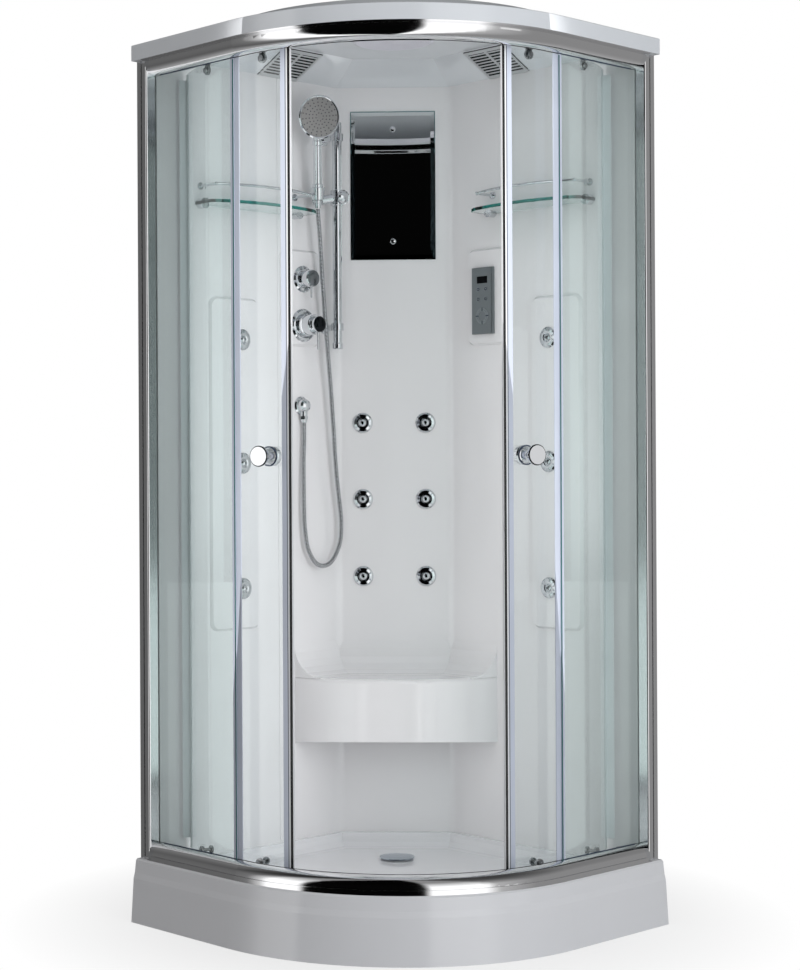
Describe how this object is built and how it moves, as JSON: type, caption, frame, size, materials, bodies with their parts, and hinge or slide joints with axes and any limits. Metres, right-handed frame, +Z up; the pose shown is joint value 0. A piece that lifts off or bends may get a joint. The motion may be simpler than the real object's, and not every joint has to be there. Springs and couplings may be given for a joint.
{
  "type": "quarter-round shower cabin",
  "caption": "Quarter-round shower cabin with a roof, moulded tray, corner seat, curved sliding glass doors, body jets, riser rail hand shower, shelves, mirror and control panel.",
  "frame": {"origin": "on the floor, under the middle of the cabin's overall width and depth", "axes": "+Z up, the doors face -Y, +X to the right of somebody who stands before the doors"},
  "size_m": [1.2728, 1.0323, 2.15],
  "materials": {
    "tray_acrylic": "glossy white moulded acrylic",
    "frame_steel": "dark painted steel",
    "zinc": "zinc plated steel",
    "grey_plastic": "matt grey plastic",
    "wall_acrylic": "glossy white moulded panel",
    "roof_acrylic": "glossy pale grey moulded roof",
    "lamp_lens": "milky diffuser",
    "aluminium": "bright polished aluminium",
    "cap_plastic": "dark grey plastic",
    "pane": "clear safety glass with a green edge",
    "seal": "translucent vinyl seal",
    "chrome": "polished chrome",
    "roller": "white nylon",
    "mirror": "silvered glass with a bevelled edge",
    "spray_face": "grey spray plate with soft nozzles",
    "hose_steel": "spiral wound metal hose",
    "brass": "raw brass",
    "shelf_glass": "clear glass with a polished edge",
    "panel_face": "brushed grey metal front",
    "key": "pale grey keys",
    "pipe": "ivory plastic pipe"
  },
  "bodies": {
    "cabin": {"shower_tray": "tray_acrylic", "tray_frame": "frame_steel", "levelling_feet": "zinc", "waste_trap": "grey_plastic", "left_wall_panel": "wall_acrylic", "right_wall_panel": "wall_acrylic", "back_column": "wall_acrylic", "roof": "roof_acrylic", "vent_grilles": "chrome", "ceiling_lamp": "lamp_lens", "top_track": "aluminium", "bottom_track": "aluminium", "track_end_caps": "cap_plastic", "wall_posts": "aluminium", "fixed_glasses": "pane", "fixed_glass_seals": "seal", "wall_mirror": "mirror", "mirror_fixings": "chrome", "riser_rail": "chrome", "shower_hose": "hose_steel", "wall_outlet": "chrome", "valve_body": "brass", "valve_rosettes": "chrome", "glass_shelves": "shelf_glass", "shelf_fittings": "chrome", "control_panel": "panel_face", "jet_housings": "chrome", "water_pipes": "pipe"},
    "waste_cover": {"waste_cover": "chrome"},
    "left_door": {"left_door_glass": "pane", "left_door_seals": "seal", "left_door_knob": "chrome", "left_roller_mounts": "zinc"},
    "left_front_wheel": {"left_front_wheel": "roller"},
    "left_rear_wheel": {"left_rear_wheel": "roller"},
    "right_door": {"right_door_glass": "pane", "right_door_seals": "seal", "right_door_knob": "chrome", "right_roller_mounts": "zinc"},
    "right_front_wheel": {"right_front_wheel": "roller"},
    "right_rear_wheel": {"right_rear_wheel": "roller"},
    "rail_slider": {"rail_slider": "chrome"},
    "hand_shower": {"handset_holder": "chrome", "handset": "chrome", "handset_face": "spray_face", "handset_nut": "chrome"},
    "diverter_knob": {"diverter_knob": "chrome"},
    "mixer_sleeve": {"mixer_sleeve": "chrome"},
    "mixer_lever": {"mixer_lever": "chrome"},
    "keypad_ring": {"keypad_ring": "key"},
    "upper_left_key": {"upper_left_key": "key"},
    "upper_right_key": {"upper_right_key": "key"},
    "lower_left_key": {"lower_left_key": "key"},
    "lower_right_key": {"lower_right_key": "key"},
    "upper_left_eyeball": {"upper_left_eyeball": "chrome"},
    "upper_right_eyeball": {"upper_right_eyeball": "chrome"},
    "middle_left_eyeball": {"middle_left_eyeball": "chrome"},
    "middle_right_eyeball": {"middle_right_eyeball": "chrome"},
    "lower_left_eyeball": {"lower_left_eyeball": "chrome"},
    "lower_right_eyeball": {"lower_right_eyeball": "chrome"}
  },
  "joints": [
    {"name": "waste_cover_lift", "type": "slide", "parent": "cabin", "child": "waste_cover", "axis": [0, 0, 1], "range_m": [0, 0.03]},
    {"name": "left_door_run", "type": "hinge", "parent": "cabin", "child": "left_door", "pos_m": [0.08482, 0.2088, 1.1], "axis": [0, 0, 1], "range_deg": [0, 22.85]},
    {"name": "right_door_run", "type": "hinge", "parent": "cabin", "child": "right_door", "pos_m": [-0.08482, 0.2088, 1.1], "axis": [0, 0, 1], "range_deg": [-22.85, 0]},
    {"name": "left_front_wheel_spin", "type": "hinge", "parent": "left_door", "child": "left_front_wheel", "pos_m": [-0.31619, -0.31806, 2.0363], "axis": [-0.5388, -0.8424, 0], "continuous": true},
    {"name": "left_rear_wheel_spin", "type": "hinge", "parent": "left_door", "child": "left_rear_wheel", "pos_m": [-0.45809, -0.17711, 2.0363], "axis": [-0.8388, -0.5444, 0], "continuous": true},
    {"name": "right_front_wheel_spin", "type": "hinge", "parent": "right_door", "child": "right_front_wheel", "pos_m": [0.31619, -0.31806, 2.0363], "axis": [0.5388, -0.8424, 0], "continuous": true},
    {"name": "right_rear_wheel_spin", "type": "hinge", "parent": "right_door", "child": "right_rear_wheel", "pos_m": [0.45809, -0.17711, 2.0363], "axis": [0.8388, -0.5444, 0], "continuous": true},
    {"name": "slider_height", "type": "slide", "parent": "cabin", "child": "rail_slider", "axis": [0, 0, 1], "range_m": [-0.025, 0.06], "deforming": ["shower_hose"]},
    {"name": "holder_tilt", "type": "hinge", "parent": "rail_slider", "child": "hand_shower", "pos_m": [-0.194, 0.245, 1.764], "axis": [1, 0, 0], "range_deg": [-12, 12]},
    {"name": "diverter_turn", "type": "hinge", "parent": "cabin", "child": "diverter_knob", "pos_m": [-0.2192, 0.22465, 1.562], "axis": [0.7071, -0.7071, 0], "range_deg": [-60, 60]},
    {"name": "mixer_turn", "type": "hinge", "parent": "cabin", "child": "mixer_sleeve", "pos_m": [-0.2192, 0.22465, 1.444], "axis": [0.7071, -0.7071, 0], "range_deg": [-45, 45]},
    {"name": "mixer_lift", "type": "hinge", "parent": "mixer_sleeve", "child": "mixer_lever", "pos_m": [-0.19799, 0.20343, 1.444], "axis": [-0.7071, -0.7071, 0], "range_deg": [0, 20]},
    {"name": "upper_left_key_press", "type": "slide", "parent": "cabin", "child": "upper_left_key", "axis": [0.7071, 0.7071, 0], "range_m": [0, 0.0013], "stiffness_N_per_m": 400, "springref_m": -0.0006},
    {"name": "upper_right_key_press", "type": "slide", "parent": "cabin", "child": "upper_right_key", "axis": [0.7071, 0.7071, 0], "range_m": [0, 0.0013], "stiffness_N_per_m": 400, "springref_m": -0.0006},
    {"name": "lower_left_key_press", "type": "slide", "parent": "cabin", "child": "lower_left_key", "axis": [0.7071, 0.7071, 0], "range_m": [0, 0.0013], "stiffness_N_per_m": 400, "springref_m": -0.0006},
    {"name": "lower_right_key_press", "type": "slide", "parent": "cabin", "child": "lower_right_key", "axis": [0.7071, 0.7071, 0], "range_m": [0, 0.0013], "stiffness_N_per_m": 400, "springref_m": -0.0006},
    {"name": "keypad_ring_press", "type": "slide", "parent": "cabin", "child": "keypad_ring", "axis": [0.7071, 0.7071, 0], "range_m": [0, 0.0013], "stiffness_N_per_m": 400, "springref_m": -0.0006},
    {"name": "upper_left_jet_tilt", "type": "hinge", "parent": "cabin", "child": "upper_left_eyeball", "pos_m": [-0.0815, 0.3332, 1.196], "axis": [1, 0, 0], "range_deg": [-15, 15]},
    {"name": "upper_right_jet_tilt", "type": "hinge", "parent": "cabin", "child": "upper_right_eyeball", "pos_m": [0.0815, 0.3332, 1.196], "axis": [1, 0, 0], "range_deg": [-15, 15]},
    {"name": "middle_left_jet_tilt", "type": "hinge", "parent": "cabin", "child": "middle_left_eyeball", "pos_m": [-0.0815, 0.3332, 0.998], "axis": [1, 0, 0], "range_deg": [-15, 15]},
    {"name": "middle_right_jet_tilt", "type": "hinge", "parent": "cabin", "child": "middle_right_eyeball", "pos_m": [0.0815, 0.3332, 0.998], "axis": [1, 0, 0], "range_deg": [-15, 15]},
    {"name": "lower_left_jet_tilt", "type": "hinge", "parent": "cabin", "child": "lower_left_eyeball", "pos_m": [-0.0815, 0.3332, 0.798], "axis": [1, 0, 0], "range_deg": [-15, 15]},
    {"name": "lower_right_jet_tilt", "type": "hinge", "parent": "cabin", "child": "lower_right_eyeball", "pos_m": [0.0815, 0.3332, 0.798], "axis": [1, 0, 0], "range_deg": [-15, 15]}
  ],
  "couplings": [
    {"joint": "left_front_wheel_spin", "follows": "left_door_run", "ratio": -66.4},
    {"joint": "left_rear_wheel_spin", "follows": "left_door_run", "ratio": -66.4},
    {"joint": "right_front_wheel_spin", "follows": "right_door_run", "ratio": -66.4},
    {"joint": "right_rear_wheel_spin", "follows": "right_door_run", "ratio": -66.4}
  ]
}
